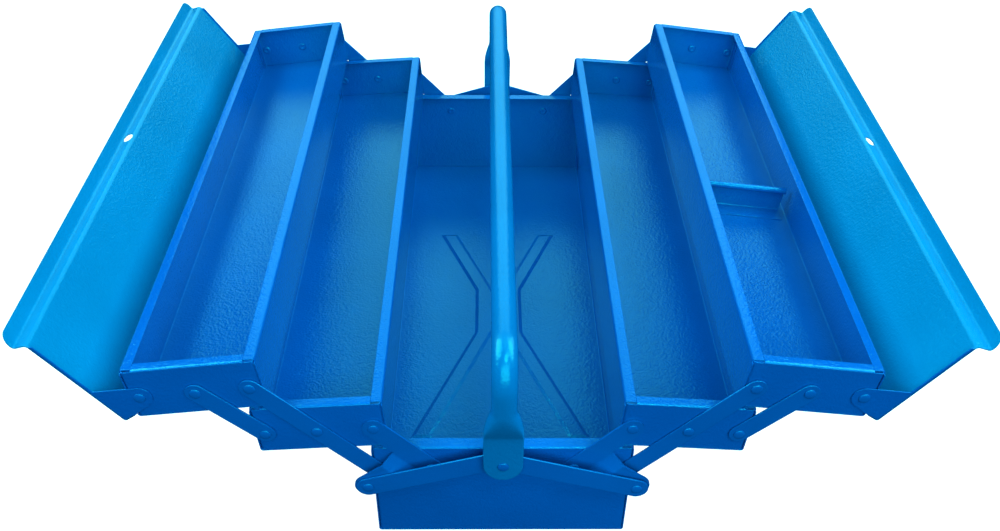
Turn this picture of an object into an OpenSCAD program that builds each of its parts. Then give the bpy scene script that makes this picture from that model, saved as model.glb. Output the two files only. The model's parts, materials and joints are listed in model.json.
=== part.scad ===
// Cantilever tool box of folded sheet steel, drawn with its trays spread open.
// X runs across the box, Y along it and Z up. The origin is the middle of the base, on the floor.
// The right half is drawn and mirrored to the left; the back end is drawn and mirrored to the front.

/* [Box] */
// Width of the bottom box
box_w = 200; // [190:1:240]
// Length of the bottom box and of the trays
box_l = 550; // [400:5:650]
// Height of the bottom box
box_h = 100; // [90:1:130]
// Width of the rims folded inwards along the bottom box
box_rim = 9; // [6:0.5:12]
// Depth of the flange folded inwards on top of the box's end plates
box_end_rim = 10; // [6:0.5:14]
// Height of the cross pressed into the floor
cross_height = 1.2; // [0.8:0.1:1.6]
// Width of the arms of the pressed cross at their ends
cross_arm = 19; // [12:1:24]
// Reach of the cross's front arms, from its waist
cross_front = 176; // [120:1:220]
// Reach of the cross's back arms, from its waist
cross_back = 132; // [100:1:220]
// Width of the cross at its waist
cross_waist_w = 48; // [40:1:64]
// Length of the cross's waist along the box
cross_waist_l = 66; // [50:1:90]
// How far the cross's arms lean outwards, in degrees
cross_lean = 21.8; // [14:0.2:26]

/* [Sheet] */
// Thickness of the box and tray sheet
sheet = 1; // [0.8:0.1:1.2]
// Radius inside the sheet's bends
bend_in = 1.2; // [0.8:0.1:2]
// Gap between end plates and the sheets they are welded into
seam = 0.1; // [0.05:0.05:0.2]
// Distance from the end faces to where the long rims begin
rim_start = 2; // [1.5:0.1:4]
// Depth of the weld flanges at the sides of the end plates
weld_flange = 9; // [6:0.5:12]

/* [Trays] */
// How far the shut trays stand in from the sides of the box
tray_inset = 0.5; // [0.5:0.5:4]
// Height of each tray
tray_h = 45; // [42:0.5:55]
// Width of the rims folded inwards along the trays
tray_rim = 8.5; // [6:0.5:10]
// Depth of the flange folded inwards on top of the trays' end plates
tray_end_rim = 8; // [5:0.5:12]
// Gap between the left and right trays when the box is shut
shut_gap = 3; // [2:0.2:8]
// Gap between stacked trays when the box is shut
stack_gap = 0.8; // [0.6:0.1:2]

/* [Linkage] */
// Height of the tray rivets above the tray floor
pivot_up = 20; // [18:0.5:24]
// Inner tray rivet, from the tray's inner wall
pivot_in = 9.5; // [9:0.5:12]
// Outer tray rivet and lid hinge, from the tray's outer wall
pivot_edge = 8; // [8:0.5:11]
// Long link's rivet on the box, from the side of the box
box_pivot_in = 5; // [5:0.5:8]
// Slope of the long links when the box is open
open_angle = 46; // [42:0.5:50]
// Tilt of the lower trays when the box is open
droop_low = 4; // [0:0.1:4.5]
// Tilt of the upper trays when the box is open
droop_up = 6.8; // [0:0.1:7.5]
// Crank's rivet below the top of the box
crank_drop = 21; // [18:0.5:25]
// Width of the long and short links
link_w = 16; // [13:0.5:18]
// Width of the crank's arm
crank_w = 17; // [13:0.5:18]
// Thickness of links, cranks and bars
link_t = 1.5; // [1.2:0.1:1.8]
// Gap between plates that slide past each other
plate_gap = 0.4; // [0.2:0.05:0.6]

/* [Rivets] */
// Diameter of the rivet shanks
rivet_d = 5; // [4:0.1:6]
// Diameter of the rivet heads
rivet_head = 8.6; // [8.2:0.1:11]
// Height of the rivet heads
head_h = 1.4; // [1:0.1:1.6]
// Height of the upset tails inside the sheet
tail_h = 1.2; // [0.8:0.1:1.6]
// Clearance of a rivet in its holes, on the radius
pin_clear = 0.08; // [0.05:0.01:0.1]
// Clearance of the slack holes that take up the linkage's play, on the radius
slack = 1.2; // [1.1:0.05:1.4]

/* [Handle] */
// Handle's rivets below the top of the box, box open
handle_drop = 1; // [0:0.5:4]
// Outer bar rivets beyond the side of the box, box open
bar_out = 3; // [0:0.5:6]
// Outer bar rivets below the top of the box, box open
bar_drop = 32; // [28:0.5:36]
// Width of the handle bars
bar_w = 18.5; // [15:0.5:20]
// Width of the crank's lobe round the bar rivet
lobe_w = 21; // [17:0.5:22]
// How far the crank's lobe stands out from its arm
lobe_out = 8; // [7:0.5:10]
// Width of the bent strip between the crank's arm and lobe
lobe_run = 11; // [9:0.5:13]
// Outer diameter of the handle tube
tube_d = 19; // [16:0.5:22]
// Wall of the handle tube
tube_wall = 1.5; // [1:0.1:2]
// Height of the tube's centre above its rivets
leg_h = 102; // [95:1:130]
// Radius of the handle's corners at the tube's centre
tube_bend = 26; // [24:1:34]
// Thickness of the flattened ends of the tube
flat_t = 4; // [3:0.1:5]
// Width of the flattened ends of the tube
flat_w = 30; // [24:0.5:32]
// Height of the flattened ends above the handle's rivets
flat_h = 30; // [26:1:36]
// Height of the stretch where the tube flattens
flare_h = 28; // [16:1:34]

/* [Lids] */
// Thickness of the lid sheet
lid_t = 0.9; // [0.7:0.1:1.1]
// Gap between the tray's rims and the shut lid
lid_gap = 0.7; // [0.5:0.1:2]
// How far the lid's skirt stands out from the tray's wall
lid_out = 3; // [2.2:0.1:4]
// Depth of the skirt along the lid's outer edge
lid_skirt = 10.2; // [8:0.1:10.4]
// Distance of the lid's step from the middle of the shut box
lid_step_in = 12.5; // [11.5:0.5:18]
// Width of the slope of the lid's step
lid_step_run = 3; // [2:0.5:5]
// Height of the lid's step
lid_step = 9; // [7:0.5:11]
// Reach of the lid's lip past the middle of the shut box
lid_past = 2.5; // [0:0.5:6]
// How much higher the right lip is, so that it laps over the left one
lip_lap = 1.6; // [1.4:0.1:2.4]
// How much shorter the right lip is
lip_short = 0; // [0:0.1:4]
// Radius of the lip's corners
lip_corner = 9; // [4:0.5:11]
// Depth of the flanges at the lid's ends
lid_flange = 3; // [2.5:0.5:7]
// Width of the lid's ears round the hinge rivets
ear_w = 18.6; // [16:0.2:20]
// Where the ear's sloping edge meets the end flange, from the hinge rivet
ear_reach = 23; // [20:0.5:30]
// Turn of the lids from shut to open, measured on the tray
lid_turn = 118; // [110:0.5:120]
// Length of the padlock slots
lock_l = 13; // [9:0.5:16]
// Width of the padlock slots
lock_w = 6; // [4:0.5:7]

/* [Divider] */
// Distance of the divider from the middle of the tray, towards the front
divider_y = 11; // [0:1:150]
// Height of the divider
divider_h = 26; // [20:1:38]
// Depth of the divider's foot
divider_foot = 17; // [8:1:25]
// Diameter of the divider's rolled top edge
divider_roll = 6; // [4:0.5:8]
// Gap between the divider and the tray's walls
divider_gap = 6; // [1:0.5:6]

/* [Hidden] */
$fn = 64;
bend_steps = 4;
mid_r = bend_in + sheet / 2;
half_gap = shut_gap / 2;
half_l = box_l / 2;
tray_w = box_w / 2 - half_gap - tray_inset;
pivot_out = tray_w - pivot_edge;
pivot_step = (box_w / 2 - box_pivot_in - half_gap - pivot_in) / 2;
crank_z = box_h - crank_drop;
handle_z = box_h - handle_drop;
lid_rise = tray_h - pivot_up + lid_gap + lid_t;
lid_over = pivot_edge + lid_out;
lid_step_at = half_gap + pivot_out - lid_step_in;
lid_tip = half_gap + pivot_out + lid_past;

function dir(a) = [cos(a), sin(a)];
function unit(v) = v / norm(v);
function left_of(v) = [-v[1], v[0]];
function turned(v, a) = [v[0] * cos(a) - v[1] * sin(a), v[0] * sin(a) + v[1] * cos(a)];
function turn_of(a, b) = atan2(a[0] * b[1] - a[1] * b[0], a * b);
function flip(p) = [for (i = [len(p) - 1:-1:0]) p[i]];

// One face of a bent strip, d to the left of its middle line p, with bends of radius r
function strip_side(p, d, r) = [
    for (i = [0:len(p) - 1])
        let (last = len(p) - 1,
             a = unit(p[max(i, 1)] - p[max(i, 1) - 1]),
             b = unit(p[min(i, last - 1) + 1] - p[min(i, last - 1)]),
             f = turn_of(a, b),
             s = sign(f),
             c = p[i] - r * tan(abs(f) / 2) * a + s * r * left_of(a))
        each (s == 0 ? [p[i] + d * left_of(a)]
            : [for (k = [0:bend_steps]) c - (s * r - d) * turned(left_of(a), f * k / bend_steps)])
];
function strip(p, t, r) = concat(strip_side(p, t / 2, r), flip(strip_side(p, -t / 2, r)));

// Where a tangent from point p touches the circle of radius r round c, on the given side
function tangent(p, c, r, side) =
    let (d = norm(c - p),
         f = atan2(c[1] - p[1], c[0] - p[0]) + side * asin(r / d))
    p + sqrt(d * d - r * r) * dir(f);

function angle_of(v) = atan2(v[1], v[0]);
function arc(r, a, b) = [for (k = [0:24]) r * dir(a + (b - a) * k / 24)];

// Places on the right half as [distance from the middle, height]: shut box first
low_shut_z = box_h + stack_gap;
up_shut_z = low_shut_z + tray_h + stack_gap;
low_mid_shut = [half_gap + pivot_in + pivot_step, low_shut_z + pivot_up];
up_in_shut = [half_gap + pivot_in, up_shut_z + pivot_up];
link_step = up_in_shut - low_mid_shut;
link_l = norm(link_step);
box_pivot = low_mid_shut - link_step;

// The same places with the box open
low_mid = box_pivot + link_l * dir(open_angle);
up_in = box_pivot + 2 * link_l * dir(open_angle);
function on_low(u, w) = low_mid + turned([u - pivot_in - pivot_step, w - pivot_up], -droop_low);
function on_up(u, w) = up_in + turned([u - pivot_in, w - pivot_up], -droop_up);

// The crank's rivet lies as far from its tray rivet in the open box as in the shut one
low_in = on_low(pivot_in, pivot_up);
low_in_shut = [half_gap + pivot_in, low_shut_z + pivot_up];
crank_x = ((low_in * low_in - low_in_shut * low_in_shut) / 2 - crank_z * (low_in[1] - low_in_shut[1]))
    / (low_in[0] - low_in_shut[0]);
crank_pivot = [crank_x, crank_z];
crank_l = norm(low_in - crank_pivot);
crank_angle = atan2(low_in[1] - crank_z, low_in[0] - crank_x);
crank_turn = atan2(low_in_shut[1] - crank_z, low_in_shut[0] - crank_x) - crank_angle;

// The short link's upper rivet sits where its length is the same open and shut
low_out = on_low(pivot_out, pivot_up);
low_out_shut = [half_gap + pivot_out, low_shut_z + pivot_up];
open_base = on_up(0, pivot_up) - low_out;
shut_base = [half_gap, up_shut_z + pivot_up] - low_out_shut;
up_mid_u = (shut_base * shut_base - open_base * open_base)
    / (2 * (dir(-droop_up) * open_base - shut_base[0]));
up_mid = on_up(up_mid_u, pivot_up);
short_l = norm(up_mid - low_out);
short_angle = atan2(up_mid[1] - low_out[1], up_mid[0] - low_out[0]);

up_out = on_up(pivot_out, pivot_up);
lid_angle = lid_turn + droop_up;

// Handle bars, from the crank's lobe to the handle's rivet
bar_end = [box_w / 2 + bar_out, box_h - bar_drop];
bar_l = norm(bar_end - [0, handle_z]);
bar_angle = atan2(bar_end[1] - handle_z, bar_end[0]);

// Layers on an end face, as distances out from it
link_n = plate_gap;
head_n = link_n + link_t;
lobe_n = link_n + lobe_out;
bar_n = lobe_n + link_t + plate_gap;
cross_bar_n = bar_n + link_t + plate_gap;
flat_n = cross_bar_n + link_t + plate_gap;
tube_n = flat_n + flat_t / 2;
pin_r = rivet_d / 2;
bore_r = pin_r + pin_clear;
slack_r = pin_r + slack;
tail_r = pin_r * 1.6;

SIDES = ["left", "right"];
ENDS = ["front", "back"];

blue = [0.02, 0.36, 0.75];
deep_blue = [0.01, 0.29, 0.62];
lid_blue = [0.03, 0.45, 0.85];

module on_side(s) {
    if (s == "left") mirror([1, 0, 0]) children();
    else children();
}

module at_end(e) {
    if (e == "front") mirror([0, 1, 0]) children();
    else children();
}

// Stands a drawing of [outwards, up] on the back end, n out from its face
module end_plate_at(p, n, t) {
    translate([p[0], half_l + n + t, p[1]]) rotate([90, 0, 0]) linear_extrude(t) children();
}

// Stands a drawing of [along, across] on the back end, turned to point along angle a
module arm_at(p, a, n, t) {
    translate([p[0], half_l + n, p[1]]) rotate([0, -a, 0]) rotate([-90, 0, 0]) linear_extrude(t) children();
}

// Puts a drawing of [outwards, along, up] from a tray's corner into the open box
module in_low_tray() {
    translate([on_low(0, 0)[0], 0, on_low(0, 0)[1]]) rotate([0, droop_low, 0]) children();
}

module in_up_tray() {
    translate([on_up(0, 0)[0], 0, on_up(0, 0)[1]]) rotate([0, droop_up, 0]) children();
}

// Bent sheet that makes a floor, two long walls and their folded rims
module channel(w, h, rim) {
    m = sheet / 2;
    path = [[rim, h - m], [m, h - m], [m, m], [w - m, m], [w - m, h - m], [w - rim, h - m]];
    difference() {
        rotate([90, 0, 0]) linear_extrude(box_l, center = true) polygon(strip(path, sheet, mid_r));
        for (e = ENDS) at_end(e)
            translate([-1, half_l - rim_start, h - sheet - mid_r]) cube([w + 2, rim_start + 1, sheet + mid_r + 1]);
    }
}

// Folded end plate with weld flanges at its sides and a rim on top
module end_plate(w, h, rim, top, holes) {
    m = sheet / 2;
    x0 = sheet + seam + m;
    y0 = half_l - m;
    side_path = [[x0, y0 - weld_flange], [x0, y0], [w - x0, y0], [w - x0, y0 - weld_flange]];
    top_path = [[y0, h - 2 * mid_r - 4], [y0, h - m], [y0 - top, h - m]];
    difference() {
        union() {
            translate([0, 0, sheet + bend_in]) linear_extrude(h - 2 * (sheet + bend_in))
                polygon(strip(side_path, sheet, mid_r));
            translate([rim + seam, 0, 0]) rotate([90, 0, 90]) linear_extrude(w - 2 * rim - 2 * seam)
                polygon(strip(top_path, sheet, mid_r));
            translate([sheet + bend_in, half_l - sheet, sheet])
                cube([w - 2 * sheet - 2 * bend_in, sheet, bend_in + 1]);
        }
        for (p = holes) {
            translate([p[0], half_l + 1, p[1]]) rotate([90, 0, 0]) cylinder(h = sheet + 2, r = bore_r);
            translate([p[0], half_l - sheet, p[1]]) rotate([90, 0, 0]) cylinder(h = weld_flange, r = tail_r + seam);
        }
    }
}

// Rivet through an end plate, from its tail inside to a head that starts n out from the face
module rivet(p, n) {
    translate([p[0], half_l - sheet, p[1]]) rotate([-90, 0, 0]) {
        cylinder(h = sheet + n, r = pin_r);
        tail();
        translate([0, 0, sheet + n]) dome(rivet_head / 2, head_h);
    }
}

// Upset end of a rivet, below z = 0
module tail() {
    translate([0, 0, -tail_h]) cylinder(h = tail_h, r1 = pin_r * 1.1, r2 = tail_r);
}

// Domed head, flat on z = 0
module dome(r, h) {
    rotate_extrude() polygon([
        [0, 0], [r, 0], [r, h * 0.2], [r * 0.93, h * 0.5], [r * 0.75, h * 0.8], [r * 0.45, h * 0.97], [0, h]
    ]);
}

// Flat bar with round ends and a hole at each end
module bar_shape(l, w, hole_0, hole_1) {
    difference() {
        union() {
            circle(d = w);
            translate([l, 0]) circle(d = w);
            translate([0, -w / 2]) square([l, w]);
        }
        circle(r = hole_0);
        translate([l, 0]) circle(r = hole_1);
    }
}

// Cross pressed into the box's floor, seen from above
module cross_shape() {
    waist = cross_waist_l / 2;
    for (x = [-1, 1]) for (y = [-1, 1]) {
        reach = (y < 0) ? cross_front : cross_back;
        tip = cross_waist_w / 2 + (reach - waist) * tan(cross_lean);
        polygon([
            [0, 0], [x * cross_waist_w / 2, 0], [x * cross_waist_w / 2, y * waist], [x * tip, y * reach],
            [x * (tip - cross_arm), y * reach], [0, y * waist * 0.6]
        ]);
    }
}

module box_shell() {
    color(blue) difference() {
        union() {
            translate([-box_w / 2, 0, 0]) channel(box_w, box_h, box_rim);
            linear_extrude(sheet + cross_height) cross_shape();
        }
        translate([0, 0, -1]) linear_extrude(cross_height + 1) offset(delta = -sheet) cross_shape();
    }
}

module box_end(e) {
    holes = [for (p = [box_pivot, crank_pivot]) for (s = [-1, 1]) [box_w / 2 + s * p[0], p[1]]];
    color(blue) at_end(e) translate([-box_w / 2, 0, 0])
        end_plate(box_w, box_h, box_rim, box_end_rim, holes);
}

module box_rivets() {
    color(deep_blue) for (s = SIDES) on_side(s) for (e = ENDS) at_end(e)
        for (p = [box_pivot, crank_pivot]) rivet(p, head_n + pin_clear);
}

module lower_tray(s) {
    color(blue) on_side(s) in_low_tray() channel(tray_w, tray_h, tray_rim);
}

module lower_end(e, s) {
    holes = [for (u = [pivot_in, pivot_in + pivot_step, pivot_out]) [u, pivot_up]];
    color(blue) on_side(s) at_end(e) in_low_tray()
        end_plate(tray_w, tray_h, tray_rim, tray_end_rim, holes);
}

module lower_rivets(s) {
    color(deep_blue) on_side(s) for (e = ENDS) at_end(e)
        for (p = [low_in, low_mid, low_out]) rivet(p, head_n + pin_clear);
}

module upper_tray(s) {
    color(blue) on_side(s) in_up_tray() channel(tray_w, tray_h, tray_rim);
}

module upper_end(e, s) {
    holes = [for (u = [pivot_in, up_mid_u, pivot_out]) [u, pivot_up]];
    color(blue) on_side(s) at_end(e) in_up_tray()
        end_plate(tray_w, tray_h, tray_rim, tray_end_rim, holes);
}

module upper_rivets(s) {
    color(deep_blue) on_side(s) for (e = ENDS) at_end(e) {
        for (p = [up_in, up_mid]) rivet(p, head_n + pin_clear);
        rivet(up_out, link_n + lid_t + pin_clear);
    }
}

module long_link(e, s) {
    color(deep_blue) on_side(s) at_end(e) arm_at(box_pivot, open_angle, link_n, link_t) difference() {
        bar_shape(2 * link_l, link_w, bore_r, bore_r);
        translate([link_l, 0]) circle(r = bore_r);
    }
}

module short_link(e, s) {
    color(deep_blue) on_side(s) at_end(e)
        arm_at(low_out, short_angle, link_n, link_t) bar_shape(short_l, link_w, bore_r, slack_r);
}

// Crank: a narrow arm to the tray and a lobe that is bent outwards to carry the handle bar
module crank(e, s) {
    to_bar = turned(bar_end - crank_pivot, -crank_angle);
    lobe = [to_bar[0], -to_bar[1]];
    arm_r = crank_w / 2;
    lobe_r = lobe_w / 2;
    notch = [lobe[0] + lobe_r * 0.65, arm_r];
    upper = tangent(notch, lobe, lobe_r, -1);
    spread = atan2(lobe[1], lobe[0]) + 90 + asin((lobe_r - arm_r) / norm(lobe));
    m = link_t / 2;
    fold = arm_r + 0.5;
    section = [
        [-arm_r - 1, m], [fold, m], [fold + lobe_run, lobe_out + m], [lobe[1] + lobe_r + 1, lobe_out + m]
    ];
    color(blue) on_side(s) at_end(e)
        translate([crank_pivot[0], half_l + link_n, crank_pivot[1]])
        rotate([0, -crank_angle, 0]) rotate([-90, 0, 0])
        difference() {
            intersection() {
                translate([0, 0, -1]) linear_extrude(lobe_out + link_t + 2) union() {
                    circle(r = arm_r);
                    translate([crank_l, 0]) circle(r = arm_r);
                    translate([0, -arm_r]) square([crank_l, crank_w]);
                    translate(lobe) circle(r = lobe_r);
                    polygon([[0, 0], notch, upper, lobe, lobe + lobe_r * dir(spread), arm_r * dir(spread)]);
                }
                translate([-arm_r - lobe_w, 0, 0]) rotate([90, 0, 90])
                    linear_extrude(crank_l + 2 * arm_r + 2 * lobe_w) polygon(strip(section, link_t, link_t));
            }
            translate([0, 0, -1]) cylinder(h = link_t + 2, r = bore_r);
            translate([crank_l, 0, -1]) cylinder(h = link_t + 2, r = slack_r);
            translate([lobe[0], lobe[1], lobe_out - 1]) cylinder(h = link_t + 2, r = bore_r);
        }
}

// Stud on the crank's lobe: its head lies behind the lobe and its shank ends flush with the front
module crank_studs(s) {
    color(deep_blue) on_side(s) for (e = ENDS) at_end(e)
        translate([bar_end[0], half_l + lobe_n, bar_end[1]]) rotate([-90, 0, 0]) {
            cylinder(h = link_t, r = pin_r);
            tail();
        }
}

function bar_layer(s) = (s == "left") ? bar_n : cross_bar_n;

module handle_bar(e, s) {
    color(deep_blue) on_side(s) at_end(e)
        arm_at([0, handle_z], bar_angle, bar_layer(s), link_t) bar_shape(bar_l, bar_w, bore_r, bore_r);
}

// Head of the bar's outer rivet, with a shank that ends flush with the crank's front
module bar_rivets(s) {
    n = bar_layer(s);
    color(deep_blue) on_side(s) for (e = ENDS) at_end(e)
        translate([bar_end[0], half_l + bar_n - plate_gap / 2, bar_end[1]]) rotate([-90, 0, 0]) {
            cylinder(h = n + link_t - bar_n + plate_gap / 2, r = pin_r);
            translate([0, 0, n + link_t - bar_n + plate_gap / 2]) dome(rivet_head / 2, head_h);
        }
}

// Lid drawn shut, from its hinge rivet: [towards the middle, up]
module lid(s) {
    lap = (s == "right") ? lip_lap : 0;
    tip = (s == "right") ? lid_tip - lip_short : lid_tip;
    m = lid_t / 2;
    end_n = link_n;
    panel_l = box_l + 2 * end_n + 2 * lid_t;
    top = lid_rise - m;
    lip_z = top + lid_step + lap;
    path = [
        [-lid_over + m, lid_rise - lid_skirt], [-lid_over + m, top], [lid_step_at, top],
        [lid_step_at + lid_step_run, lip_z], [tip, lip_z]
    ];
    ear_r = ear_w / 2;
    ear_from = angle_of(tangent([ear_reach, lid_rise - lid_flange], [0, 0], ear_r, 1));
    ear_to = angle_of(tangent([-lid_over, lid_rise - lid_skirt], [0, 0], ear_r, -1));
    color(lid_blue) on_side(s) translate([up_out[0], 0, up_out[1]]) rotate([0, lid_angle, 0]) mirror([1, 0, 0])
        difference() {
            union() {
                rotate([90, 0, 0]) linear_extrude(panel_l, center = true)
                    polygon(strip(path, lid_t, bend_in + m));
                for (e = ENDS) at_end(e)
                    translate([0, half_l + end_n + lid_t, 0]) rotate([90, 0, 0]) linear_extrude(lid_t)
                        polygon(concat([
                            [-lid_over, lid_rise - lid_skirt],
                            [-lid_over, lid_rise - bend_in - lid_t], [-lid_over + bend_in + lid_t, lid_rise],
                            [lid_step_at - bend_in, lid_rise], [lid_step_at - lid_flange, lid_rise - lid_flange],
                            [ear_reach, lid_rise - lid_flange]
                        ], arc(ear_r, ear_from, (ear_to > 0) ? ear_to - 360 : ear_to)));
            }
            for (e = ENDS) at_end(e)
                translate([0, half_l + end_n + lid_t + 1, 0]) rotate([90, 0, 0])
                    cylinder(h = lid_t + 2, r = bore_r);
            for (e = ENDS) at_end(e)
                translate([tip - lip_corner, panel_l / 2 - lip_corner, lid_rise + 1])
                    lip_cutter(lip_z + 4 - lid_rise);
            padlock_slot(lap);
        }
}

// Corner that is cut off the lip to leave it round
module lip_cutter(h) {
    difference() {
        cube([lip_corner + 1, lip_corner + 1, h]);
        translate([0, 0, -1]) cylinder(h = h + 2, r = lip_corner);
    }
}

// Slot for a padlock's shackle through the lid's step
module padlock_slot(lap) {
    slot_z = lid_rise - lid_t / 2 + (lid_step + lap) / 2;
    translate([lid_step_at - 6, 0, slot_z]) rotate([0, 90, 0])
        linear_extrude(lid_step_run + 12) union() {
            for (y = [-1, 1]) translate([0, y * (lock_l - lock_w) / 2]) circle(d = lock_w);
            square([lock_w, lock_l - lock_w], center = true);
        }
}

// Divider in the right upper tray: upright sheet with a foot and a rolled top edge
module divider() {
    m = sheet / 2;
    curl = divider_roll - sheet;
    width = tray_w - 2 * sheet - 2 * divider_gap;
    path = [
        [-divider_foot, m], [-m, m], [-m, divider_h - m], [-m - curl, divider_h - m],
        [-m - curl, divider_h - m - curl], [0.2 - m - curl / 2, divider_h - m - curl]
    ];
    color(blue) in_up_tray() translate([sheet + divider_gap, -divider_y, sheet])
        rotate([90, 0, 90]) linear_extrude(width) polygon(strip(path, sheet, curl / 2 - 0.05));
}

module handle_rivets() {
    color(deep_blue) for (e = ENDS) at_end(e)
        translate([0, half_l + bar_n, handle_z]) rotate([-90, 0, 0]) {
            cylinder(h = flat_n + flat_t - bar_n, r = pin_r);
            translate([0, 0, flat_n + flat_t - bar_n]) dome(rivet_head / 2, head_h);
            tail();
        }
}

// Tube bent twice, with flattened ends that are riveted to the bars
module handle() {
    top_z = handle_z + leg_h;
    run = half_l + tube_n - tube_bend;
    tube_bore = tube_d - 2 * tube_wall;
    color(blue) difference() {
        union() {
            translate([0, run, top_z]) rotate([90, 0, 0]) cylinder(h = 2 * run, d = tube_d);
            for (e = ENDS) at_end(e) {
                translate([0, run, top_z - tube_bend]) rotate([0, -90, 0])
                    rotate_extrude(angle = 90) translate([tube_bend, 0]) circle(d = tube_d);
                translate([0, half_l + tube_n, handle_z + flat_h + flare_h])
                    cylinder(h = leg_h - tube_bend - flat_h - flare_h, d = tube_d);
                hull() {
                    translate([0, half_l + tube_n, handle_z + flat_h + flare_h - 0.5])
                        cylinder(h = 0.5, d = tube_d, $fn = 32);
                    translate([-flat_w / 2, half_l + flat_n, handle_z + flat_h - 0.5])
                        cube([flat_w, flat_t, 0.5]);
                }
                translate([0, half_l + flat_n, handle_z]) rotate([-90, 0, 0]) {
                    cylinder(h = flat_t, d = flat_w);
                    translate([-flat_w / 2, -flat_h, 0]) cube([flat_w, flat_h, flat_t]);
                }
            }
        }
        translate([0, run, top_z]) rotate([90, 0, 0]) cylinder(h = 2 * run, d = tube_bore);
        for (e = ENDS) at_end(e) {
            translate([0, run, top_z - tube_bend]) rotate([0, -90, 0])
                rotate_extrude(angle = 90) translate([tube_bend, 0]) circle(d = tube_bore);
            translate([0, half_l + tube_n, handle_z + flat_h + flare_h])
                cylinder(h = leg_h - tube_bend - flat_h - flare_h, d = tube_bore);
            translate([0, half_l + flat_n - 1, handle_z]) rotate([-90, 0, 0])
                cylinder(h = flat_t + 2, r = bore_r);
        }
    }
}

box_shell();
for (e = ENDS) box_end(e);
box_rivets();
for (s = SIDES) {
    lower_tray(s);
    lower_rivets(s);
    upper_tray(s);
    upper_rivets(s);
    lid(s);
    crank_studs(s);
    bar_rivets(s);
    for (e = ENDS) {
        lower_end(e, s);
        upper_end(e, s);
        long_link(e, s);
        short_link(e, s);
        crank(e, s);
        handle_bar(e, s);
    }
}
divider();
handle_rivets();
handle();
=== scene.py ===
import json
import math

import bmesh
import bpy
from mathutils import Matrix, Vector


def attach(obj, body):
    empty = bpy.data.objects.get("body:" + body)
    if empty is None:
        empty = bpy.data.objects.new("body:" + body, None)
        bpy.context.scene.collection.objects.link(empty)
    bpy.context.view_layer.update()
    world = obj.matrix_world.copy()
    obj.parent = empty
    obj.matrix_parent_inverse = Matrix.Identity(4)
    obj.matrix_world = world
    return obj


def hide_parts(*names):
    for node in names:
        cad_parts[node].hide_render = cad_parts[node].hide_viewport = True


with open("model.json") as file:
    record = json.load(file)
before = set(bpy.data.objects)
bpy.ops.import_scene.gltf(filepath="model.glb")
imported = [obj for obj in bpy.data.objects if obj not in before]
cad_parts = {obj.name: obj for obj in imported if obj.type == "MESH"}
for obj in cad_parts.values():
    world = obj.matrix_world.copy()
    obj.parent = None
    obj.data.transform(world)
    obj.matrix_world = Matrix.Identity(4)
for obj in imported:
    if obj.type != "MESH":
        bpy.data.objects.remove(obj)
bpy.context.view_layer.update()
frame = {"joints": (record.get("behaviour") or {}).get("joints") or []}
scene = bpy.context.scene
mm = 0.001


# Camera
# Stands above and in front of the box, where the photograph was taken, and looks down at 40 degrees.
# The small shift puts the box's front rim near the lower edge of the picture.
yaw, pitch, roll = math.radians(1.10), math.radians(40.43), math.radians(0.81)
ahead = Vector((math.sin(yaw) * math.cos(pitch), math.cos(yaw) * math.cos(pitch), -math.sin(pitch)))
level = Vector((math.cos(yaw), -math.sin(yaw), 0))
upward = level.cross(ahead)
right = level * math.cos(roll) + upward * math.sin(roll)
upward = upward * math.cos(roll) - level * math.sin(roll)
lens = bpy.data.cameras.new("camera")
lens.sensor_width = 36
lens.lens = 36.245
lens.shift_y = 0.0435
lens.clip_start = 0.05
camera = bpy.data.objects.new("camera", lens)
scene.collection.objects.link(camera)
stand = Matrix.Translation((-13.51 * mm, -787.08 * mm, 674.41 * mm))
camera.matrix_world = stand @ Matrix((right, upward, -ahead)).transposed().to_4x4()
scene.camera = camera


# Studio
# A plain white floor and backdrop that neither light the box nor show in its paint. Six soft boxes
# do that. Their light is strongly cyan, with a quarter of white's red, which deepens the blue.
class Wire:
    """A shader socket that takes part in sums."""

    def __init__(self, nodes, socket):
        self.nodes, self.socket = nodes, socket

    def __add__(self, other):
        return add_node(self.nodes, "ShaderNodeMath", {"operation": "ADD"}, [self, other])

    def __mul__(self, other):
        return add_node(self.nodes, "ShaderNodeMath", {"operation": "MULTIPLY"}, [self, other])


def add_node(nodes, kind, settings=(), values=(), out=0):
    """Adds a node with its settings and the values or wires of its sockets, and gives an output."""
    made = nodes.new(kind)
    for name, value in dict(settings).items():
        if name == "stops":
            ramp = made.color_ramp
            while len(ramp.elements) < len(value):
                ramp.elements.new(1)
            for stop, (place, colour) in zip(ramp.elements, value):
                stop.position, stop.color = place, colour
        else:
            setattr(made, name, value)
    pairs = values.items() if isinstance(values, dict) else enumerate(values)
    for key, value in pairs:
        if isinstance(value, Wire):
            nodes.id_data.links.new(value.socket, made.inputs[key])
        else:
            made.inputs[key].default_value = value
    return Wire(nodes, made.outputs[out])


def new_material(name):
    made = bpy.data.materials.new(name)
    made.use_nodes = True
    nodes = made.node_tree.nodes
    return made, nodes, nodes["Principled BSDF"]


lamp_colour = (0.25, 1, 0.97)
low_aim, high_aim = (0, 0, 0.1), (0, 0, 0.15)


def soft_box(name, place, target, size, watts):
    light = bpy.data.lights.new(name, "AREA")
    light.shape = "RECTANGLE"
    light.size, light.size_y = size
    light.energy = watts
    light.color = lamp_colour
    lamp = bpy.data.objects.new(name, light)
    lamp.visible_camera = False
    scene.collection.objects.link(lamp)
    aim = Vector(target) - Vector(place)
    lamp.matrix_world = Matrix.Translation(place) @ aim.to_track_quat("-Z", "Y").to_matrix().to_4x4()


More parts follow.
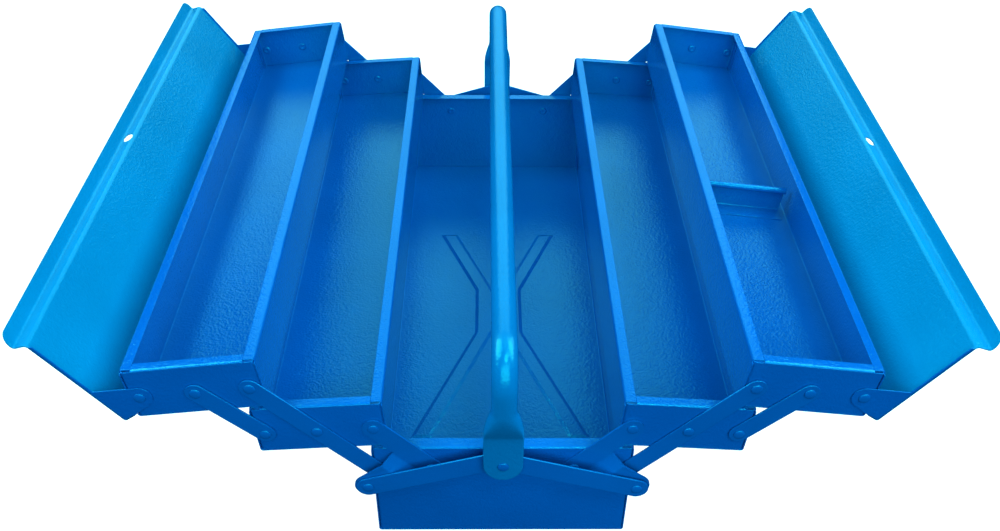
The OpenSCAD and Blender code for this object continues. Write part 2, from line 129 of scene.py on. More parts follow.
soft_box("light left", (-1.5, 0.1, 1.5), high_aim, (1.5, 1.6), 69)
soft_box("light right", (1.5, 0.1, 1.5), high_aim, (1.5, 1.6), 66)
soft_box("light behind", (0, 2.1, 1.5), low_aim, (2.6, 1.7), 26)
soft_box("light overhead", (0.1, 0.2, 1.9), low_aim, (1.2, 1.0), 8)
soft_box("light front high", (0.5, -1.1, 1.9), low_aim, (0.8, 0.5), 20)
soft_box("light front low", (0.2, -2.4, 1.3), low_aim, (3.2, 1.7), 104)

backdrop = bpy.data.worlds.new("white backdrop")
scene.world = backdrop
backdrop.use_nodes = True
backdrop.node_tree.nodes["Background"].inputs["Color"].default_value = (1, 1, 1, 1)
backdrop.cycles_visibility.diffuse = False
backdrop.cycles_visibility.glossy = False
scene.view_settings.view_transform = "Standard"

floor_paper, nodes, shader = new_material("studio paper")
shader.inputs["Base Color"].default_value = (0.38, 0.38, 0.38, 1)
shader.inputs["Roughness"].default_value = 0.9
shader.inputs["Specular IOR Level"].default_value = 0
shader.inputs["Emission Color"].default_value = (1, 1, 1, 1)
shader.inputs["Emission Strength"].default_value = 1.0
bm = bmesh.new()
floor_half, floor_back, floor_drop = 9, 4, 0.2 * mm
bmesh.ops.create_grid(bm, x_segments=2, y_segments=2, size=floor_half)
bmesh.ops.translate(bm, verts=bm.verts, vec=(0, floor_back, -floor_drop))
floor_mesh = bpy.data.meshes.new("studio floor")
bm.to_mesh(floor_mesh)
floor_mesh.materials.append(floor_paper)
studio_floor = bpy.data.objects.new("studio_floor", floor_mesh)
scene.collection.objects.link(studio_floor)
studio_floor.visible_diffuse = studio_floor.visible_glossy = False


# Blue enamel
# The whole box is stove-enamelled in one glossy blue after it is welded and riveted. The coat has an
# orange peel of fine pores and wider waves, and its tone and gloss vary a little in soft clouds. Its
# reflection is tinted cyan as well, which real enamel's isn't, to keep the sheen blue.
def enamel(name, colour, peel, rough):
    """Blue enamel with a depth of its orange peel in millimetres and a mean roughness."""
    made, nodes, shader = new_material(name)
    place = add_node(nodes, "ShaderNodeTexCoord", out="Object")

    def noise(scale, detail, roughness=0.5):
        return add_node(nodes, "ShaderNodeTexNoise", {}, {"Vector": place, "Scale": scale, "Detail": detail,
                                                          "Roughness": roughness}, "Fac")

    cloud, pores, waves = noise(9.0, 3.0), noise(520.0, 2.5, 0.55), noise(260.0, 1.0)
    dark = [c * 0.88 for c in colour] + [1]
    light = [c * 1.1 for c in colour] + [1]
    tone = add_node(nodes, "ShaderNodeValToRGB", {"stops": [(0.3, dark), (0.72, light)]},
                    [cloud * 0.8 + pores * 0.2])
    nodes.id_data.links.new(tone.socket, shader.inputs["Base Color"])
    gloss = (cloud * 0.06) + (pores * 0.05) + (rough - 0.05)
    nodes.id_data.links.new(gloss.socket, shader.inputs["Roughness"])
    skin = add_node(nodes, "ShaderNodeBump", {}, {"Strength": 1.0, "Distance": peel * mm,
                                                  "Height": pores * 0.8 + waves * 0.5}, "Normal")
    nodes.id_data.links.new(skin.socket, shader.inputs["Normal"])
    shader.inputs["Specular IOR Level"].default_value = 0.62
    shader.inputs["Specular Tint"].default_value = (0.05, 0.95, 1, 1)
    return made


body_enamel = enamel("blue enamel on sheet", (0.0002, 0.064, 0.31), 0.36, 0.12)
# The lids' copy of the blue is lighter: the light the tilted lids catch is painted into its colour, while
# their ears keep the sheet's enamel.
lid_enamel_painted_light = enamel("blue enamel on lids with painted light", (0.0002, 0.137, 0.35), 0.32, 0.16)
plate_enamel = enamel("blue enamel on links", (0.0002, 0.066, 0.30), 0.1, 0.16)
# The handle's copy of the blue is lighter: the light falling on the tube is painted into its colour.
tube_enamel_painted_light = enamel("blue enamel on handle with painted light", (0.0002, 0.095, 0.30), 0.22, 0.24)


# Bottom box shell
# One sheet of 1 mm steel folded into a floor and two long walls, with a 9 mm rim turned inwards
# along each wall. The rims stop short of the ends, where the end plates are nested and welded.
box_l, box_w, box_h = 550 * mm, 200 * mm, 100 * mm
half_l = box_l / 2
sheet_t = 1.0 * mm
fold_r = 2.2 * mm
box_rim, rim_back, rim_depth = 9 * mm, 2 * mm, 2.7 * mm
seam = 0.1 * mm
bevel_angle = math.radians(35)


def pen(bm, start, moves):
    """Draws a row of edges from a start vertex: straight to a point, or swung round a centre."""
    here = bm.verts.new(start)
    drawn = []
    for move in moves:
        if isinstance(move, tuple):
            before = here
            here = bm.verts.new(move)
            drawn.append(bm.edges.new((before, here)))
        else:
            swung = bmesh.ops.spin(bm, geom=[here], cent=move["round"], axis=move["axis"],
                                   angle=move["turn"], steps=move["steps"])
            drawn += [e for e in bm.edges if e not in drawn and not e.link_faces]
            here = next(v for v in swung["geom_last"] if isinstance(v, bmesh.types.BMVert))
    return drawn


def new_verts(made):
    return [v for v in made["geom"] if isinstance(v, bmesh.types.BMVert)]


def cut_across(bm, point, normal):
    """Cuts every face along a plane and keeps both sides."""
    bmesh.ops.bisect_plane(bm, geom=bm.verts[:] + bm.edges[:] + bm.faces[:], plane_co=point, plane_no=normal)


def finish_piece(name, bm, material, body, nodes, thickness=0.0, edge=0.25 * mm, place=None):
    """Turns a bmesh into an object with its sheet thickness, rounded edges, material and body."""
    if place is not None:
        bmesh.ops.transform(bm, matrix=place, verts=bm.verts)
        if place.determinant() < 0:
            bmesh.ops.reverse_faces(bm, faces=bm.faces)
    for face in bm.faces:
        face.smooth = True
    mesh = bpy.data.meshes.new(name)
    bm.to_mesh(mesh)
    bm.free()
    mesh.materials.append(material)
    piece = bpy.data.objects.new(name, mesh)
    scene.collection.objects.link(piece)
    if thickness:
        wall = piece.modifiers.new("sheet", "SOLIDIFY")
        wall.thickness = thickness
        wall.offset = -1
        wall.use_even_offset = True
    if edge:
        soft = piece.modifiers.new("edges", "BEVEL")
        soft.width = edge
        soft.segments = 2
        soft.limit_method = "ANGLE"
        soft.angle_limit = bevel_angle
        soft.harden_normals = True
    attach(piece, body)
    if nodes:
        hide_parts(*nodes)
    return piece


def face_towards(bm, probe, direction):
    """Turns every face round if the one nearest the probe looks away from the direction."""
    near = min(bm.faces, key=lambda f: (f.calc_center_median() - Vector(probe)).length)
    if near.normal.dot(Vector(direction)) < 0:
        bmesh.ops.reverse_faces(bm, faces=bm.faces)


def folded_channel(width, height, rim):
    """Floor, two long walls and their rims, folded from one sheet; x from 0 to width."""
    bm = bmesh.new()
    corners = [(rim, height), (0, height), (0, 0), (width, 0), (width, height), (width - rim, height)]
    row = pen(bm, (corners[0][0], -half_l, corners[0][1]), [(x, -half_l, z) for x, z in corners[1:]])
    drawn = bmesh.ops.extrude_edge_only(bm, edges=row)
    bmesh.ops.translate(bm, verts=new_verts(drawn), vec=(0, box_l, 0))
    bm.normal_update()
    face_towards(bm, (width / 2, 0, 0), (0, 0, -1))
    folds = [e for e in bm.edges if len(e.link_faces) == 2]
    bmesh.ops.bevel(bm, geom=folds, offset=fold_r, offset_type="OFFSET", segments=5, profile=0.5,
                    affect="EDGES", material=-1)
    for y in (-half_l + rim_back, half_l - rim_back):
        cut_across(bm, (0, y, 0), (0, 1, 0))
    cut_across(bm, (0, 0, height - rim_depth), (0, 0, 1))
    ends = [f for f in bm.faces if abs(f.calc_center_median().y) > half_l - rim_back and
            f.calc_center_median().z > height - rim_depth]
    bmesh.ops.delete(bm, geom=ends, context="FACES")
    return bm


finish_piece("box_shell_sheet", folded_channel(box_w, box_h, box_rim), body_enamel, "box", ["box_shell"],
             sheet_t, place=Matrix.Translation((-box_w / 2, 0, 0)))


# Pressed cross
# Two low ridges that cross in the floor are pressed up from below to stiffen the sheet. Their
# sides slope softly back into the floor, so only their edges catch the light.
cross_rise, cross_slope, cross_sunk = 1.2 * mm, 3.6 * mm, 0.1 * mm
waist_w, waist_l, arm_w = 24 * mm, 33 * mm, 19 * mm
front_reach, back_reach = 176 * mm, 132 * mm
lean = math.tan(math.radians(21.8))
bm = bmesh.new()
outline = []
for x, y, reach in ((1, -1, front_reach), (1, 1, back_reach), (-1, 1, back_reach), (-1, -1, front_reach)):
    tip = waist_w + (reach - waist_l) * lean
    corner = [(x * waist_w, y * waist_l), (x * tip, y * reach), (x * (tip - arm_w), y * reach)]
    outline += corner[::-1] if x * y < 0 else corner
    if x * y > 0:
        outline.append((0, y * waist_l * 0.6))
bm.faces.new([bm.verts.new((x, y, sheet_t - cross_sunk)) for x, y in outline])
bm.normal_update()
face_towards(bm, (0, 0, 0), (0, 0, 1))
bmesh.ops.inset_region(bm, faces=bm.faces[:], thickness=cross_slope, depth=0, use_boundary=True,
                       use_even_offset=True)
top = max(bm.faces, key=lambda f: f.calc_area())
bmesh.ops.translate(bm, verts=top.verts[:], vec=(0, 0, cross_rise + cross_sunk))
bmesh.ops.triangulate(bm, faces=[top])
cross = finish_piece("box_pressed_cross", bm, body_enamel, "box", [], edge=0)
for face in cross.data.polygons:
    face.use_smooth = False


# End plates
# Each end is a plate nested between the walls and welded by a flange on either side. Its top is
# folded inwards between the two long rims.
weld_flange = 9 * mm


def end_sheet(width, height, rim, top):
    """Back end plate of a box or tray, outer face at y = half_l, x from 0 to width."""
    x0, x1 = sheet_t + seam, width - sheet_t - seam
    under = height - sheet_t - seam
    bm = bmesh.new()
    base = [bm.verts.new((x, half_l, sheet_t)) for x in (x0, rim + seam, width - rim - seam, x1)]
    row = [bm.edges.new(pair) for pair in zip(base, base[1:])]
    up = bmesh.ops.extrude_edge_only(bm, edges=row)
    bmesh.ops.translate(bm, verts=new_verts(up), vec=(0, 0, under - sheet_t))
    bm.edges.ensure_lookup_table()

    def pull(chosen, vec):
        more = bmesh.ops.extrude_edge_only(bm, edges=chosen)
        bmesh.ops.translate(bm, verts=new_verts(more), vec=vec)
        return [e for e in more["geom"] if isinstance(e, bmesh.types.BMEdge)]

    def middle(e):
        return (e.verts[0].co + e.verts[1].co) / 2

    upright = 10 * mm
    sides = [e for e in bm.edges if abs((e.verts[0].co - e.verts[1].co).z) > upright and
             (abs(middle(e).x - x0) < 1e-6 or abs(middle(e).x - x1) < 1e-6)]
    crown = [e for e in bm.edges if abs(middle(e).z - under) < 1e-6 and abs(middle(e).x - width / 2) < 1e-4]
    pull(sides, (0, -weld_flange, 0))
    rise = [e for e in pull(crown, (0, 0, height - under)) if abs(middle(e).z - height) < 1e-6]
    pull(rise, (0, -top, 0))
    bm.normal_update()
    face_towards(bm, (width / 2, half_l, height / 2), (0, 1, 0))
    bmesh.ops.recalc_face_normals(bm, faces=bm.faces)
    bm.normal_update()
    face_towards(bm, (width / 2, half_l, height / 2), (0, 1, 0))
    folds = [e for e in bm.edges if len(e.link_faces) == 2 and abs(middle(e).y - half_l) < 1e-6 and
             e.calc_face_angle(0) > 1]
    bmesh.ops.bevel(bm, geom=folds, offset=fold_r, offset_type="OFFSET", segments=5, profile=0.5,
                    affect="EDGES", material=-1)
    return bm


flip = Matrix.Diagonal((1, -1, 1, 1))
both_ends = (("back", Matrix()), ("front", flip))
box_end_rim = 10 * mm
for end, side_of in both_ends:
    finish_piece(f"box_end_sheet_{end}", end_sheet(box_w, box_h, box_rim, box_end_rim), body_enamel, "box",
                 [f"box_end_{end}"], sheet_t, place=side_of @ Matrix.Translation((-box_w / 2, 0, 0)))


# Trays
# Two trays on each side, folded like the box from 1 mm sheet, 98 mm wide and 45 mm high. They hang
# from the long links and droop a little towards the outside when the box is open.
tray_w, tray_h, tray_rim, tray_end_rim = 98 * mm, 45 * mm, 8.5 * mm, 8 * mm
lower_droop, upper_droop = 4.0, 6.8
pivot_in, pivot_step, pivot_out, pivot_up = 9.5 * mm, 42 * mm, 90 * mm, 20 * mm
hinges = {j["name"]: Vector(j["pos_m"]) for j in frame["joints"] if j.get("pos_m")}
left_side = Matrix.Diagonal((-1, 1, 1, 1))
sides = (("right", Matrix()), ("left", left_side))


def in_tray(joint, along, droop):
    """Place of a right-hand tray whose rivet lies on the joint, that far from its inner wall."""
    at = hinges[joint]
    return (Matrix.Translation((at.x, 0, at.z)) @ Matrix.Rotation(math.radians(droop), 4, "Y") @
            Matrix.Translation((-along, 0, -pivot_up)))


tray_places = {
    "lower": in_tray("lower_turn_right", pivot_in + pivot_step, lower_droop),
    "upper": in_tray("upper_turn_right", pivot_in, upper_droop),
}
for side, mirror in sides:
    for tier, spot in tray_places.items():
        finish_piece(f"{tier}_tray_sheet_{side}", folded_channel(tray_w, tray_h, tray_rim), body_enamel,
                     f"{tier}_tray_{side}", [f"{tier}_tray_{side}"], sheet_t, place=mirror @ spot)
        for end, side_of in both_ends:
            finish_piece(f"{tier}_end_sheet_{end}_{side}", end_sheet(tray_w, tray_h, tray_rim, tray_end_rim),
                         body_enamel, f"{tier}_tray_{side}", [f"{tier}_end_{end}_{side}"], sheet_t,
                         place=mirror @ side_of @ spot)


# Divider
# A partition spot-welded into the right upper tray: an upright sheet with a foot towards the front
# and a top edge rolled into a bead. It stops short of the walls on either side.
divider_y, divider_h, divider_foot, bead = -11 * mm, 26 * mm, 17 * mm, 6 * mm
divider_gap, divider_bend = 6 * mm, 2 * mm
divider_w = tray_w - 2 * sheet_t - 2 * divider_gap
bm = bmesh.new()
start = (0, divider_y - divider_foot, sheet_t)
row = pen(bm, start, [
    (0, divider_y - divider_bend, sheet_t),
    {"round": (0, divider_y - divider_bend, sheet_t + divider_bend), "axis": (1, 0, 0), "turn": math.pi / 2,
     "steps": 5},
    (0, divider_y, sheet_t + divider_h - bead / 2),
    {"round": (0, divider_y - bead / 2, sheet_t + divider_h - bead / 2), "axis": (1, 0, 0),
     "turn": math.radians(270), "steps": 16},
])
more = bmesh.ops.extrude_edge_only(bm, edges=row)
bmesh.ops.translate(bm, verts=new_verts(more), vec=(divider_w, 0, 0))
bmesh.ops.remove_doubles(bm, verts=bm.verts, dist=1e-6)
bm.normal_update()
face_towards(bm, (divider_w / 2, divider_y, sheet_t + divider_h / 2), (0, 1, 0))
finish_piece("divider_sheet", bm, body_enamel, "upper_tray_right", ["divider"], sheet_t,
             edge=0.2 * mm, place=tray_places["upper"] @ Matrix.Translation((sheet_t + divider_gap, 0, 0)))


# Lids
# Each lid is a panel of 0.9 mm sheet with a skirt along its outer edge, a step and a lip along the
# other, and a flange and an ear at either end. The ears turn on the outer rivets of the upper tray.
# An oval slot in the middle of the step takes a padlock.
lid_t, lid_over, lid_rise, skirt = 0.9 * mm, 11 * mm, 26.6 * mm, 10.2 * mm
step_at, step_run, step_up, lid_tip = 79 * mm, 3 * mm, 9 * mm, 94 * mm
flange, ear_r, ear_reach, lip_round = 3 * mm, 9.3 * mm, 23 * mm, 9 * mm
ear_out, lid_bend = 0.4 * mm, 2.1 * mm
slot_l, slot_w = 13 * mm, 6 * mm
lid_turn, right_lap = 118, 1.6 * mm


def oval_slot(bm, centre, length, width):
    """Cuts a slot with round ends, seen along x, out of the faces near a point."""
    cuts = 20
    inside = [f for f in bm.faces if abs(f.calc_center_median().x - centre.x) < width]
    for k in range(cuts):
        turn = 2 * math.pi * (k + 0.5) / cuts
        out = Vector((0, math.cos(turn), math.sin(turn)))
        edge = centre + Vector((0, math.copysign((length - width) / 2, out.y), 0)) + out * width / 2
        near = inside + list({e for f in inside for e in f.edges})
        near += list({v for f in inside for v in f.verts})
        cut = bmesh.ops.bisect_plane(bm, geom=near, plane_co=edge, plane_no=out)["geom"]
        inside = [f for f in cut if isinstance(f, bmesh.types.BMFace) and
                  (f.calc_center_median() - edge).dot(out) < 0]
    bmesh.ops.delete(bm, geom=inside, context="FACES")


def lid_sheet(lap):
    """Lid lying shut, x towards the middle of the box from its hinge rivet, both ends."""
    reach = half_l + ear_out + lid_t
    bm = bmesh.new()
    lip_z = lid_rise + step_up + lap
    corners = [(-lid_over, lid_rise - skirt), (-lid_over, lid_rise), (step_at, lid_rise),
               (step_at + step_run, lip_z), (lid_tip, lip_z)]
    row = pen(bm, (corners[0][0], -reach, corners[0][1]), [(x, -reach, z) for x, z in corners[1:]])
    more = bmesh.ops.extrude_edge_only(bm, edges=row)
    bmesh.ops.translate(bm, verts=new_verts(more), vec=(0, 2 * reach, 0))
    bm.normal_update()
    face_towards(bm, (step_at / 2, 0, lid_rise), (0, 0, 1))
    bends = [e for e in bm.edges if len(e.link_faces) == 2]
    bmesh.ops.bevel(bm, geom=bends, offset=lid_bend, offset_type="OFFSET", segments=5, profile=0.5,
                    affect="EDGES", material=-1)
    lips = [v for v in bm.verts if abs(v.co.x - lid_tip) < 1e-6]
    bmesh.ops.bevel(bm, geom=lips, offset=lip_round, offset_type="OFFSET", segments=8, profile=0.5,
                    affect="VERTICES", material=-1)
    oval_slot(bm, Vector((step_at + step_run / 2, 0, lid_rise + (step_up + lap) / 2)), slot_l, slot_w)
    return bm


def lid_ear():
    """End flange and ear of a lid as one plate on y = 0."""
    bm = bmesh.new()
    top = lid_rise - 0.2 * mm
    low = lid_rise - flange
    outer = -lid_over + 0.1 * mm
    corners = [(outer, lid_rise - skirt), (outer, lid_rise - lid_bend), (-lid_over + lid_bend, top),
               (step_at - 1.5 * mm, top), (step_at - flange, low), (ear_reach, low)]
    out = math.hypot(ear_reach, low)
    turn_1 = math.atan2(low, ear_reach) - math.acos(ear_r / out)
    far = math.hypot(lid_over, lid_rise - skirt)
    turn_2 = math.atan2(lid_rise - skirt, -lid_over) + math.acos(ear_r / far)
    touch = (ear_r * math.cos(turn_1), 0, ear_r * math.sin(turn_1))
    sweep = (turn_1 - turn_2) % (2 * math.pi)
    pen(bm, (corners[0][0], 0, corners[0][1]), [(x, 0, z) for x, z in corners[1:]] + [
        touch, {"round": (0, 0, 0), "axis": (0, 1, 0), "turn": sweep, "steps": 20}])
    bmesh.ops.remove_doubles(bm, verts=bm.verts, dist=1e-6)
    loose = [v for v in bm.verts if len(v.link_edges) == 1]
    bm.edges.new(loose)
    bmesh.ops.contextual_create(bm, geom=bm.edges[:])
    bm.normal_update()
    face_towards(bm, (0, 0, 0), (0, 1, 0))
    return bm


for side, mirror in sides:
    lap = right_lap if side == "right" else 0
    at = hinges["lid_hinge_right"]
    shut = (Matrix.Translation((at.x, 0, at.z)) @
            Matrix.Rotation(math.radians(lid_turn + upper_droop), 4, "Y") @ left_side)
    finish_piece(f"lid_panel_{side}", lid_sheet(lap), lid_enamel_painted_light, f"lid_{side}", [f"lid_{side}"],
                 lid_t, edge=0.2 * mm, place=mirror @ shut)
    for end, side_of in both_ends:
        finish_piece(f"lid_ear_{end}_{side}", lid_ear(), body_enamel, f"lid_{side}", [], lid_t,
                     place=mirror @ side_of @ shut @ Matrix.Translation((0, half_l + ear_out + lid_t, 0)))


# Links
# Flat bars of 1.5 mm steel with round ends. The long links run from the box past the lower tray to
# the upper one, and the short links join the outer edges of the two trays.
link_t, link_w, plate_gap, bar_edge = 1.5 * mm, 16 * mm, 0.4 * mm, 0.55 * mm


def on_end(start, finish, out):
    """Place on the back end face: x along the bar, y across it and z outwards."""
    along = Vector((finish.x - start.x, 0, finish.z - start.z)).normalized()
    across = Vector((along.z, 0, -along.x))
    turn = Matrix((along, across, Vector((0, 1, 0)))).transposed().to_4x4()
    return Matrix.Translation((start.x, half_l + out, start.z)) @ turn


def flat_bar(length, width):
    """Bar with round ends lying on z = 0, from x = 0 to its length."""
    bm = bmesh.new()
    bmesh.ops.create_circle(bm, cap_ends=True, radius=width / 2, segments=48)
    far = [v for v in bm.verts if v.co.x > 1e-7]
    bmesh.ops.translate(bm, verts=far, vec=(length, 0, 0))
    bm.normal_update()
    face_towards(bm, (0, 0, 0), (0, 0, 1))
    bmesh.ops.translate(bm, verts=bm.verts, vec=(0, 0, link_t))
    return bm


pivots = {"box": hinges["fold_right"], "top": hinges["upper_turn_right"], "low": hinges["short_turn_right"]}
up_mid_u = 49.144 * mm
pivots["mid"] = tray_places["upper"] @ Vector((up_mid_u, 0, pivot_up))
pivots["low_in"] = tray_places["lower"] @ Vector((pivot_in, 0, pivot_up))
bars = {"long": ("box", "top"), "short": ("low", "mid")}
for side, mirror in sides:
    for kind, (first, last) in bars.items():
        a, b = pivots[first], pivots[last]
        for end, side_of in both_ends:
            finish_piece(f"{kind}_link_bar_{end}_{side}", flat_bar((b - a).xz.length, link_w), plate_enamel,
                         f"{kind}_links_{side}", [f"{kind}_link_{end}_{side}"], link_t, bar_edge,
                         place=mirror @ side_of @ on_end(a, b, plate_gap))


# Cranks
# Each crank turns on the box and carries the inner edge of a lower tray. A lobe beside its rivet is
# bent outwards, past the links, to carry the end of a handle bar.
crank_w, lobe_w, lobe_out, lobe_run = 17 * mm, 21 * mm, 8 * mm, 11 * mm
bar_end = Vector((103 * mm, 0, 68 * mm))
crank_at = hinges["crank_turn_right"]


def bent_crank(length, lobe):
    """Crank with its arm on z = 0, x towards the tray's rivet and y towards the lobe."""
    bm = bmesh.new()
    arm_r, lobe_r = crank_w / 2, lobe_w / 2
    notch = Vector((lobe.x + lobe_r * 0.65, arm_r, 0))
    away = lobe - notch
    lift = math.atan2(away.y, away.x) - math.asin(lobe_r / away.length)
    reach = math.sqrt(away.length ** 2 - lobe_r ** 2)
    touch = notch + Vector((math.cos(lift), math.sin(lift), 0)) * reach
    lean = math.atan2(lobe.y, lobe.x) + math.pi / 2 + math.asin((lobe_r - arm_r) / lobe.length)
    leave = Vector((math.cos(lean), math.sin(lean), 0))
    start = math.atan2(touch.y - lobe.y, touch.x - lobe.x)
    turn = (lean - start) % (2 * math.pi)
    last = (1.5 * math.pi - lean) % (2 * math.pi)
    pen(bm, (length, -arm_r, 0), [
        {"round": (length, 0, 0), "axis": (0, 0, 1), "turn": math.pi, "steps": 24},
        notch.to_tuple(), touch.to_tuple(),
        {"round": lobe.to_tuple(), "axis": (0, 0, 1), "turn": turn, "steps": 28},
        (leave * arm_r).to_tuple(),
        {"round": (0, 0, 0), "axis": (0, 0, 1), "turn": last, "steps": 16},
    ])
    bmesh.ops.remove_doubles(bm, verts=bm.verts, dist=1e-6)
    loose = [v for v in bm.verts if len(v.link_edges) == 1]
    bm.edges.new(loose)
    bmesh.ops.contextual_create(bm, geom=bm.edges[:])
    bm.normal_update()
    face_towards(bm, (0, 0, 0), (0, 0, 1))
    fold = arm_r + 0.5 * mm
    margin, cuts = 0.8 * mm, 14
    for k in range(cuts + 1):
        cut_across(bm, (0, fold - margin + k * (lobe_run + 2 * margin) / cuts, 0), (0, 1, 0))

    def height(y):
        t = min(1, max(0, (y - fold) / lobe_run))
        soft = 0.09
        if t < soft:
            return lobe_out * t * t / (2 * soft * (1 - soft))
        if t > 1 - soft:
            return lobe_out * (1 - (1 - t) ** 2 / (2 * soft * (1 - soft)))
        return lobe_out * (t - soft / 2) / (1 - soft)

    for v in bm.verts:
        v.co.z = link_t + height(v.co.y)
    return bm


crank_reach = (pivots["low_in"] - crank_at).xz.length
for side, mirror in sides:
    for end, side_of in both_ends:
        spot = on_end(crank_at, pivots["low_in"], plate_gap)
        lobe = spot.inverted() @ Vector((bar_end.x, half_l + plate_gap, bar_end.z))
        finish_piece(f"crank_arm_{end}_{side}", bent_crank(crank_reach, lobe), plate_enamel, f"cranks_{side}",
                     [f"crank_{end}_{side}"], link_t, bar_edge, place=mirror @ side_of @ spot)


# Handle bars
# A flat bar from each crank to the handle. The two bars of an end cross at the handle's rivet, the
# right one in front of the left one, and lift the handle as the box folds shut.
handle_at = Vector((0, 0, 99 * mm))
bar_w = 18.5 * mm
bar_n = plate_gap + lobe_out + link_t + plate_gap
bar_layers = {"left": bar_n, "right": bar_n + link_t + plate_gap}
for side, mirror in sides:
    for end, side_of in both_ends:
        finish_piece(f"bar_{end}_{side}", flat_bar((bar_end - handle_at).xz.length, bar_w), plate_enamel,
                     f"bars_{side}", [f"handle_bar_{end}_{side}"], link_t, bar_edge,
                     place=mirror @ side_of @ on_end(handle_at, bar_end, bar_layers[side]))


# Rivets
# Steel rivets with low round heads outside and upset tails inside, painted over with the rest. The
# same rivet is used at every pivot, longer where it passes through the bars.
rivet_r, head_r, head_h = 2.5 * mm, 4.3 * mm, 1.4 * mm


def rivet_shape(shank, head=True, tail=True):
    """Rivet along z: its head's underside at z = 0, its shank below and a tail at the far end."""
    bm = bmesh.new()
    profile = [(0, 0), (rivet_r, 0), (rivet_r, -shank)]
    if head:
        dome = [(head_r * 0.9 * math.sin(t), head_h * (0.55 + 0.45 * math.cos(t)))
                for t in (0.4, 0.75, 1.05, 1.3)]
        profile = [(0, head_h)] + dome + [(head_r * 0.93, head_h * 0.58), (head_r * 0.99, head_h * 0.42),
                                          (head_r, head_h * 0.3), (head_r, 0)] + profile[1:]
    if tail:
        profile += [(4.1 * mm, -shank), (4.2 * mm, -shank - 0.4 * mm), (3.5 * mm, -shank - 1.1 * mm),
                    (1.9 * mm, -shank - 1.2 * mm), (1.3 * mm, -shank - 0.8 * mm)]
    profile += [(0, profile[-1][1])]
    pen(bm, (profile[0][0], 0, profile[0][1]), [(x, 0, z) for x, z in profile[1:]])
    bmesh.ops.spin(bm, geom=bm.verts[:] + bm.edges[:], cent=(0, 0, 0), axis=(0, 0, 1), angle=2 * math.pi,
                   steps=28, use_merge=True)
    bmesh.ops.remove_doubles(bm, verts=bm.verts, dist=1e-6)
    bmesh.ops.recalc_face_normals(bm, faces=bm.faces)
    return bm


def rivet_set(name, body, nodes, places, head=True, tail=True):
    """Several rivets as one piece: each place is (point, out, shank, end matrix)."""
    whole = bmesh.new()
    for point, out, shank, place in places:
        one = rivet_shape(shank, head, tail)
        spot = (place @ Matrix.Translation((point.x, half_l + out, point.z)) @
                Matrix.Rotation(-math.pi / 2, 4, "X"))
        bmesh.ops.transform(one, matrix=spot, verts=one.verts)
        if spot.determinant() < 0:
            bmesh.ops.reverse_faces(one, faces=one.faces)
        shape = bpy.data.meshes.new("rivet")
        one.to_mesh(shape)
        one.free()
        whole.from_mesh(shape)
        bpy.data.meshes.remove(shape)
    return finish_piece(name, whole, plate_enamel, body, nodes, edge=0)


head_gap = 0.08 * mm
head_n = plate_gap + link_t + head_gap
lid_n = ear_out + lid_t + head_gap
ends = (Matrix(), flip)
rivet_set("box_rivet_heads", "box", ["box_rivets"],
          [(p, head_n, head_n + sheet_t, m @ e)
           for p in (pivots["box"], crank_at) for _, m in sides for e in ends])
for side, mirror in sides:
    low = [pivots["low_in"], hinges["lower_turn_right"], pivots["low"]]
    rivet_set(f"lower_rivet_heads_{side}", f"lower_tray_{side}", [f"lower_rivets_{side}"],
              [(p, head_n, head_n + sheet_t, mirror @ e) for p in low for e in ends])
    high = [(pivots["top"], head_n), (pivots["mid"], head_n), (hinges["lid_hinge_right"], lid_n)]
    rivet_set(f"upper_rivet_heads_{side}", f"upper_tray_{side}", [f"upper_rivets_{side}"],
              [(p, n, n + sheet_t, mirror @ e) for p, n in high for e in ends])
    top = bar_layers[side] + link_t
    rivet_set(f"bar_rivet_heads_{side}", f"bars_{side}", [f"bar_rivets_{side}"],
              [(bar_end, top, top - bar_n + plate_gap / 2, mirror @ e) for e in ends], tail=False)
    rivet_set(f"crank_stud_tails_{side}", f"cranks_{side}", [f"crank_studs_{side}"],
              [(bar_end, bar_n - plate_gap, link_t, mirror @ e) for e in ends], head=False)
flat_n = bar_layers["right"] + link_t + plate_gap
flat_t = 4 * mm
rivet_set("handle_rivet_heads", "handle_rivets", ["handle_rivets"],
          [(handle_at, flat_n + flat_t, flat_n + flat_t - bar_n, e) for e in ends])


# Handle
# One 19 mm steel tube bent down at both ends of the box. Its ends are pressed flat, rounded off and
# riveted over the crossing bars, stiff enough that the handle stays where it is put.
tube_r, bend_r, leg_h = 9.5 * mm, 26 * mm, 102 * mm
flat_half, flat_h, flare_h = 15 * mm, 30 * mm, 28 * mm
tube_y = half_l + flat_n + flat_t / 2
top_z = handle_at.z + leg_h
run_y = tube_y - bend_r
flare_top = handle_at.z + flat_h + flare_h

bm = bmesh.new()
bmesh.ops.create_circle(bm, cap_ends=False, radius=tube_r, segments=40,
                        matrix=Matrix.Translation((0, 0, top_z)) @ Matrix.Rotation(math.pi / 2, 4, "X"))
rim_edges = bm.edges[:]


def grow(open_edges, shift=(0, 0, 0), turn=0):
    """Extrudes the open end of the tube by one step, straight or round the bend."""
    more = bmesh.ops.extrude_edge_only(bm, edges=open_edges)["geom"]
    moved = [v for v in more if isinstance(v, bmesh.types.BMVert)]
    bmesh.ops.translate(bm, verts=moved, vec=shift)
    bmesh.ops.rotate(bm, verts=moved, cent=(0, run_y, top_z - bend_r), matrix=Matrix.Rotation(turn, 3, "X"))
    return [e for e in more if isinstance(e, bmesh.types.BMEdge)]


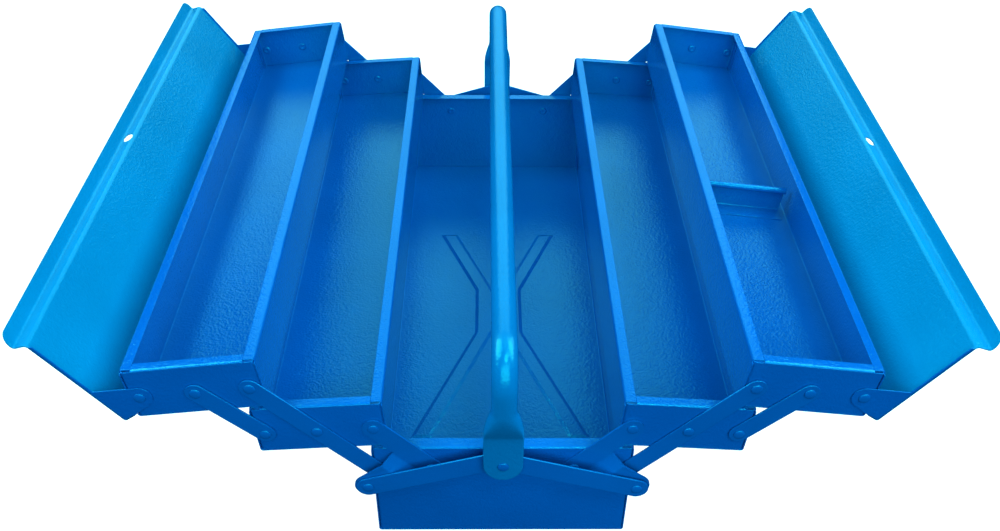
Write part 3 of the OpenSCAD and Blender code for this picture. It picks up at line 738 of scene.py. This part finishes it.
run_steps, bend_steps, flare_steps, round_steps = 8, 16, 14, 12
for k in range(run_steps):
    rim_edges = grow(rim_edges, shift=(0, run_y / run_steps, 0))
for k in range(bend_steps):
    rim_edges = grow(rim_edges, turn=-math.pi / 2 / bend_steps)
levels = [flare_top + (top_z - bend_r - flare_top) * k / 3 for k in (2, 1, 0)]
levels += [flare_top - flare_h * k / flare_steps for k in range(1, flare_steps + 1)]
levels += [handle_at.z + flat_h * k / 3 for k in (2, 1, 0)]
levels += [handle_at.z - flat_half * math.sin(math.pi / 2 * k / round_steps) for k in range(1, round_steps)]
here = top_z - bend_r
for level_z in levels:
    rim_edges = grow(rim_edges, shift=(0, 0, level_z - here))
    here = level_z
bmesh.ops.contextual_create(bm, geom=rim_edges)

# The press leaves a dished step where the round tube runs out into the flat.
for v in bm.verts:
    if v.co.z > flare_top - 1e-7 or v.co.y < run_y:
        continue
    c, s = v.co.x / tube_r, (v.co.y - tube_y) / tube_r
    down = min(1, (flare_top - v.co.z) / flare_h)
    press = down * down * (3 - 2 * down)
    wide = tube_r + (flat_half - tube_r) * math.sin(math.pi / 2 * min(1, down * 1.15))
    if v.co.z < handle_at.z:
        wide = math.sqrt(max(0, flat_half ** 2 - (handle_at.z - v.co.z) ** 2))
    thick = flat_t / 2 + (tube_r - flat_t / 2) * (1 - down ** 1.6) ** 1.1
    end_r = min(thick, wide)
    blunt_x = (wide - end_r) * max(-1, min(1, 1.5 * c)) + end_r * c
    blunt_y = thick * max(-1, min(1, 1.4 * s))
    v.co.x = blunt_x * press + wide * c * (1 - press)
    v.co.y = tube_y + blunt_y * press + thick * s * (1 - press)
bmesh.ops.mirror(bm, geom=bm.verts[:] + bm.edges[:] + bm.faces[:], axis="Y", merge_dist=1e-6)
bmesh.ops.recalc_face_normals(bm, faces=bm.faces)
handle_tube = finish_piece("handle_tube", bm, tube_enamel_painted_light, "handle", ["handle"], edge=0)
rounder = handle_tube.modifiers.new("smoother", "SUBSURF")
rounder.levels = rounder.render_levels = 1
